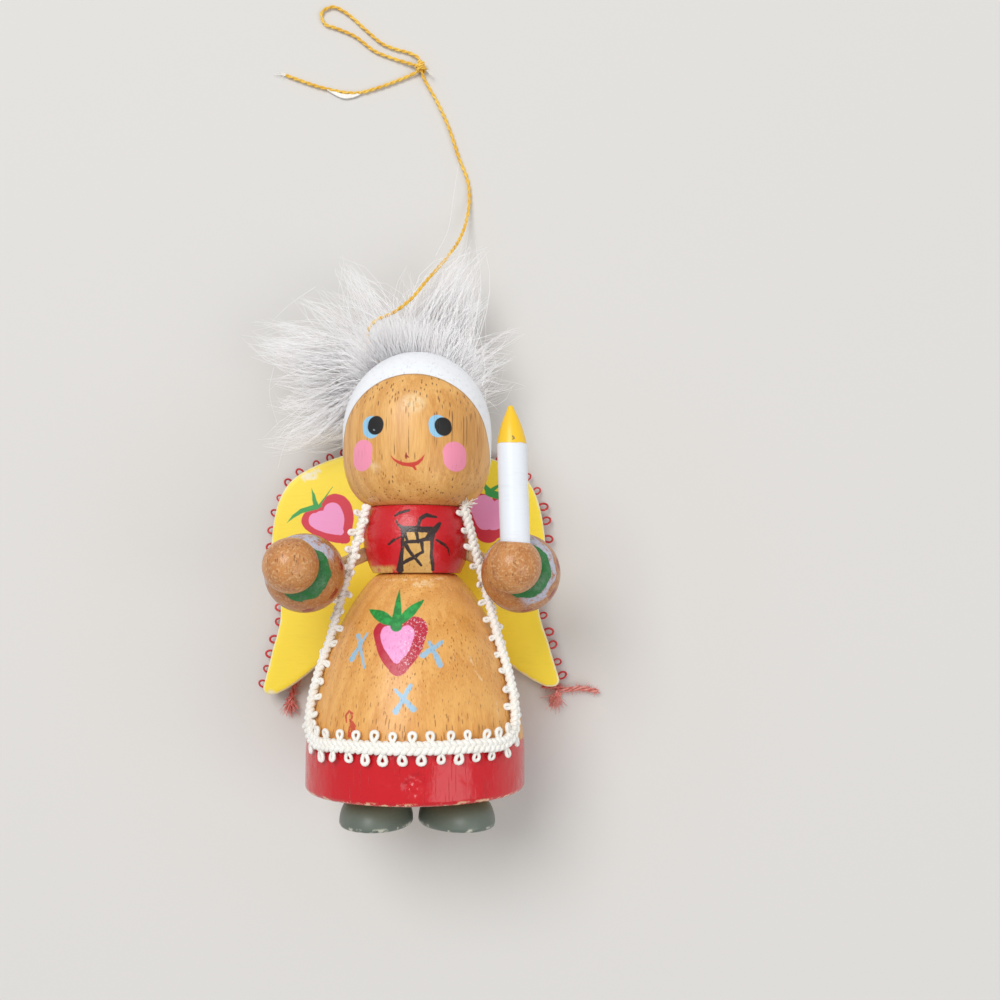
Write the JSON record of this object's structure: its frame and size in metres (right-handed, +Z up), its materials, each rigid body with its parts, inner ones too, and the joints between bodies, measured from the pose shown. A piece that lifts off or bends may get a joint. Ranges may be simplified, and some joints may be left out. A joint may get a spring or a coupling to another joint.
{
  "type": "wooden angel ornament",
  "caption": "Small turned and painted wooden angel with a candle, thin wings, braid trim, a tuft of fur for hair and a cord to hang it by.",
  "frame": {"origin": "on the surface that the ornament lies on, under the middle of the figure without its cord", "axes": "the figure lies on its back: +X to the viewer's right, +Y towards the head, +Z up, out of the face"},
  "size_m": [0.0379, 0.1029, 0.0272],
  "materials": {
    "honey_wood": "varnished, with painted motifs",
    "arm_wood": "varnished, with painted bands",
    "dowel_wood": "bare",
    "red_paint": "gloss paint",
    "yellow_paint": "satin paint",
    "white_paint": "satin paint",
    "shoe_paint": "matt paint",
    "white_braid": "cotton picot braid",
    "red_braid": "cotton picot braid",
    "hide": "bare hide",
    "fur": "white fur",
    "gold_cord": "two-ply thread"
  },
  "bodies": {
    "root": {"skirt": "honey_wood", "torso": "red_paint", "head": "honey_wood", "spine_dowel": "dowel_wood", "left_arm": "arm_wood", "right_arm": "arm_wood", "left_arm_peg": "dowel_wood", "right_arm_peg": "dowel_wood", "candle": "white_paint", "left_foot": "shoe_paint", "right_foot": "shoe_paint", "left_foot_peg": "dowel_wood", "right_foot_peg": "dowel_wood", "wings": "yellow_paint", "left_wing_trim": "red_braid", "right_wing_trim": "red_braid", "apron_lace": "white_braid", "fur_hide": "hide", "fur_hair": "fur", "hanger_cord": "gold_cord", "hanger_loop": "gold_cord", "hanger_tail": "gold_cord", "hanger_knot": "gold_cord"}
  },
  "joints": []
}
